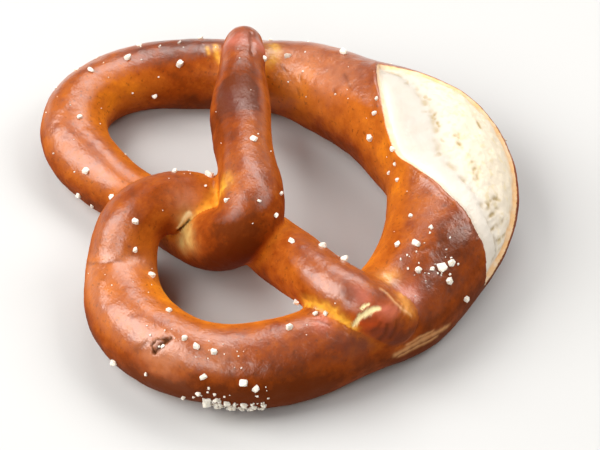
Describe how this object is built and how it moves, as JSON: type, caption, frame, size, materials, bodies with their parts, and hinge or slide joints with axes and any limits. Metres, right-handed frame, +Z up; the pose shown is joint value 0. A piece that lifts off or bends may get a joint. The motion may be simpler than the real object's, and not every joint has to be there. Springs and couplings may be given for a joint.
{
  "type": "soft pretzel",
  "caption": "Hand-twisted soft pretzel with a glossy brown crust, a thick split belly and coarse salt baked in.",
  "frame": {"origin": "middle of the pretzel's box, at the height of the flat underside it rests on", "axes": "+Z up; the thick split belly faces -Y, the near loop is towards -X and the far loop towards +X and +Y"},
  "size_m": [0.15, 0.1624, 0.0387],
  "materials": {
    "crust": "glossy mahogany brown lye crust, golden in the creases and cream where the belly has split",
    "salt": "coarse white salt crystals, slightly translucent"
  },
  "bodies": {
    "root": {"pretzel": "crust"}
  },
  "joints": []
}
